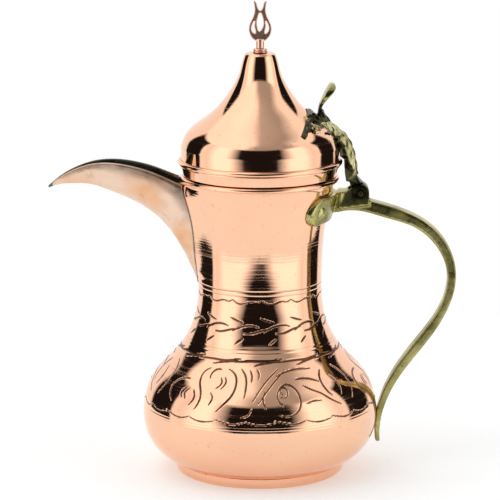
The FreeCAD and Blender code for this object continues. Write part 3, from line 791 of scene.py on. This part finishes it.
def polished_copper(name, pink, peach, tagged, dull=0.0):
    """Mirror-polished copper: turning lines, soft dents, faint tarnish clouds, grooves darkened by patina
    and a painted dark reflection.
    """
    paint = Paint(name, peach, 0.14)
    clouds = paint.span(paint.grain(22, 4), 0.35, 0.7)
    colour = paint.mix(clouds, pink, peach)
    specks = paint.span(paint.grain(420, 2), 0.66, 0.78, 0, 0.45)
    colour = paint.mix(specks, colour, (0.42, 0.2, 0.12))
    rough = paint.span(paint.grain(60, 5), 0.3, 0.75, 0.02 + dull, 0.1 + dull)
    if tagged:
        darkening, tinned = paint.finish_tag()
        # Grooves darkened: dark patina plus a painted dark reflection.
        colour = paint.mix(paint.span(darkening, 0.1, 0.6, 0, 0.95), colour, (0.1, 0.035, 0.018))
        colour = paint.mix(tinned, colour, (0.34, 0.33, 0.3))
        rough = paint.math("ADD", rough, paint.span(darkening, 0.1, 0.9, 0, 0.3))
        rough = paint.math("ADD", rough, paint.math("MULTIPLY", tinned, 0.22))
    dents = paint.bump(paint.grain(38, 1), 0.00035)
    rings = paint.noise(paint.stretched((9, 9, 1100)), 1, 4)
    rough = paint.math("ADD", rough, paint.span(rings, 0.56, 0.72, 0, 0.16))
    return paint.connect(colour, rough, paint.bump(rings, 0.00002, dents))


def spout_metal(name):
    """Dull hand-beaten copper: pinkish tan with orange and brown heat stains, dark tin inside."""
    paint = Paint(name, (0.72, 0.47, 0.35), 0.34)
    colour = paint.mix(paint.span(paint.grain(30, 4), 0.45, 0.7), (0.84, 0.62, 0.48), (0.82, 0.45, 0.24))
    stains = paint.span(paint.grain(90, 5, 0.6), 0.58, 0.8, 0, 0.55)
    colour = paint.mix(stains, colour, (0.33, 0.17, 0.09))
    darkening, tinned = paint.finish_tag()
    dull = paint.mix(paint.grain(90), (0.09, 0.1, 0.08), (0.24, 0.25, 0.2))
    colour = paint.mix(tinned, colour, dull)
    # Darker along the lip edges.
    colour = paint.mix(darkening, colour, (0.1, 0.07, 0.04))
    rough = paint.span(paint.grain(120, 4), 0.3, 0.7, 0.26, 0.46)
    scratches = paint.bump(paint.noise(paint.stretched((260, 900, 900)), 1, 4), 0.00003)
    return paint.connect(colour, rough, paint.bump(paint.grain(55, 2), 0.0004, scratches))


def cast_brass(name, light, dark, tagged):
    """Cast yellow-green brass: a pitted skin with dark pits, rubbed bright in patches, and near-black
    painted shade where the piece is tagged.
    """
    paint = Paint(name, light, 0.3)
    patches = paint.span(paint.grain(45, 5, 0.4), 0.38, 0.68)
    colour = paint.mix(patches, light, dark)
    pits = paint.span(paint.grain(600, 2), 0.6, 0.72, 0, 0.6)
    colour = paint.mix(pits, colour, (0.08, 0.07, 0.03))
    if tagged:
        # Near-black painted shade where the piece is tagged, a little uneven.
        uneven = paint.span(paint.grain(150, 4), 0.3, 0.6, 0.8, 1)
        painted_shade = paint.math("MULTIPLY", paint.finish_tag()[0], uneven)
        colour = paint.mix(painted_shade, colour, (0.025, 0.024, 0.014))
    rough = paint.span(paint.grain(110, 4), 0.3, 0.7, 0.2, 0.38)
    skin = paint.bump(paint.grain(260), 0.00012)
    return paint.connect(colour, rough, paint.bump(paint.grain(70, 2), 0.0005, skin))


def solder(name):
    """Soft grey tin solder, wiped while hot."""
    paint = Paint(name, (0.5, 0.44, 0.4), 0.4)
    colour = paint.mix(paint.grain(140, 4), (0.16, 0.13, 0.11), (0.5, 0.42, 0.36))
    return paint.connect(colour, None, paint.bump(paint.grain(300), 0.0002))


def apply_finishes():
    """Gives each visible piece its metal."""
    body_metal = polished_copper("polished_copper", PINK, PEACH, True)
    plain_metal = polished_copper("plain_copper", PINK, PEACH, False)
    finial_metal = polished_copper("finial_copper", FINIAL_PINK, FINIAL_PEACH, False, 0.25)
    brass = cast_brass("cast_brass", BRASS_LIGHT, BRASS_DARK, True)
    # Lighter copy of the cast brass: painted light on the leaf arm.
    lit_leaf_brass = cast_brass("lit_leaf_brass", LEAF_LIGHT, LEAF_DARK, True)
    plain_brass = cast_brass("plain_brass", BRASS_LIGHT, BRASS_DARK, False)
    # The hinge pin in near-black brass: painted shade.
    pin_shade_brass = cast_brass("pin_shade_brass", PIN_SHADE_LIGHT, PIN_SHADE_DARK, False)
    finishes = {
        "body_copper": body_metal, "lid_dome_sheet": body_metal, "lid_band": body_metal,
        "spout_trough": spout_metal("stained_copper"), "spout_solder": solder("tin_solder"),
        "bottom_plate": plain_metal, "lid_inner_collar": plain_metal,
        "finial_flower": finial_metal, "finial_collar": finial_metal,
        "finial_washer": finial_metal, "finial_nut": finial_metal,
        "handle_brass": brass, "handle_rivets": plain_brass, "handle_rivet_washers": plain_brass,
        "hinge_pin": pin_shade_brass,
        "lid_leaf_arm": lit_leaf_brass, "lid_arm_rivets": plain_brass, "lid_arm_rivet_washers": plain_brass,
    }
    for name, metal in finishes.items():
        piece = bpy.data.objects.get(name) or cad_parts[name]
        piece.data.materials.clear()
        piece.data.materials.append(metal)


# ---- stage ----------------------------------------------------------------------------------------
TABLE_R = 420.0
TABLE_GLOW = 0.32
TABLE_WHITE = (0.87, 0.9, 0.92)
CAMERA_PLACE = (-0.0059, -1.663, 0.483)
CAMERA_TILT = 78.08
CAMERA_LENS = 207.4


def grey(level):
    """A very slightly warm grey of some brightness."""
    return (level, level * 0.985, level * 0.97)


def make_table():
    """A plain round white table, smooth and matt, that glows a little so that its far side stays white."""
    points = [(TABLE_R * math.sin(math.radians(a)), -TABLE_R * math.cos(math.radians(a)), 0)
              for a in range(0, 360, 3)]
    mesh = bpy.data.meshes.new("table")
    mesh.from_pydata((np.array(points) * MM).tolist(), [], [tuple(range(len(points)))])
    table = bpy.data.objects.new("table", mesh)
    bpy.context.scene.collection.objects.link(table)

    paint = Paint("white_table", TABLE_WHITE, 0.8, 0.0)
    paint.shader.inputs["Specular IOR Level"].default_value = 0.0
    paint.shader.inputs["Emission Color"].default_value = (1, 1, 1, 1)
    paint.shader.inputs["Emission Strength"].default_value = TABLE_GLOW
    mesh.materials.append(paint.material)


def make_studio():
    """The surroundings that the metal mirrors, fixed in the world; the camera itself sees plain white.

    Low down they are black in front and in a band behind each side, and bright in between and at the back.
    Higher up they are dim in front and bright at the sides; overhead they are brighter to the left.
    """
    world = bpy.data.worlds.new("studio")
    bpy.context.scene.world = world
    world.use_nodes = True
    nodes = Nodes(world.node_tree)
    toward = nodes.node("ShaderNodeTexCoord", {}).outputs["Generated"]
    x, _, height = nodes.node("ShaderNodeSeparateXYZ", {0: toward}).outputs
    around = nodes.around(toward)
    black = (0.012, 0.01, 0.01)
    sides = nodes.ramp(around, [
        (0.0, grey(1.5)), (70 / 180, grey(1.5)), (84 / 180, grey(1.0)), (97 / 180, grey(1.1)),
        (100 / 180, black), (133 / 180, black), (137 / 180, grey(1.0)), (1.0, grey(1.0)),
    ])
    low_gap = nodes.span(height, -0.3, -0.21, 0.1, 0.0)
    narrowing = nodes.math("ADD", low_gap, nodes.span(height, -0.21, 0.1, 0.045, 0.0))
    front = nodes.span(nodes.math("ADD", around, narrowing), 31 / 180, 52 / 180)
    level = nodes.mix(front, black, sides)
    above_left = nodes.ramp(around, [
        (0.0, grey(0.44)), (10 / 180, grey(0.5)), (32 / 180, grey(1.35)), (1.0, grey(1.2)),
    ])
    above_right = nodes.ramp(around, [
        (0.0, grey(0.42)), (52 / 180, grey(0.42)), (80 / 180, grey(1.1)), (1.0, grey(1.1)),
    ])
    above = nodes.mix(nodes.span(x, -0.03, 0.03), above_left, above_right)
    overhead = nodes.ramp(nodes.span(x, -0.3, 0.3), [
        (0.0, grey(1.35)), (0.3, grey(1.2)), (0.52, grey(0.55)), (1.0, grey(0.42)),
    ])
    above = nodes.mix(nodes.span(height, 0.8, 0.93), above, overhead)
    studio = nodes.mix(nodes.span(height, 0.6, 0.66), level, above)
    glow = nodes.node("ShaderNodeBackground", {"Color": studio})
    plain = nodes.node("ShaderNodeBackground", {"Color": (1.0, 1.0, 1.0)})
    seen = nodes.node("ShaderNodeLightPath", {}).outputs["Is Camera Ray"]
    pick = nodes.node("ShaderNodeMixShader", {0: seen, 1: glow.outputs[0], 2: plain.outputs[0]})
    nodes.put(world.node_tree.nodes["World Output"].inputs["Surface"], pick.outputs[0])


def make_camera():
    """A long lens in front of the pot (-Y), looking slightly down."""
    camera = bpy.data.objects.new("camera", bpy.data.cameras.new("camera"))
    bpy.context.scene.collection.objects.link(camera)
    camera.location = CAMERA_PLACE
    camera.rotation_euler = (math.radians(CAMERA_TILT), 0, 0)
    camera.data.lens = CAMERA_LENS
    camera.data.sensor_width = 36
    camera.data.clip_end = 20
    bpy.context.scene.camera = camera


make_body()
make_lid()
make_spout()
make_castings()
apply_finishes()
make_table()
make_studio()
make_camera()
bpy.context.scene.view_settings.view_transform = "Standard"
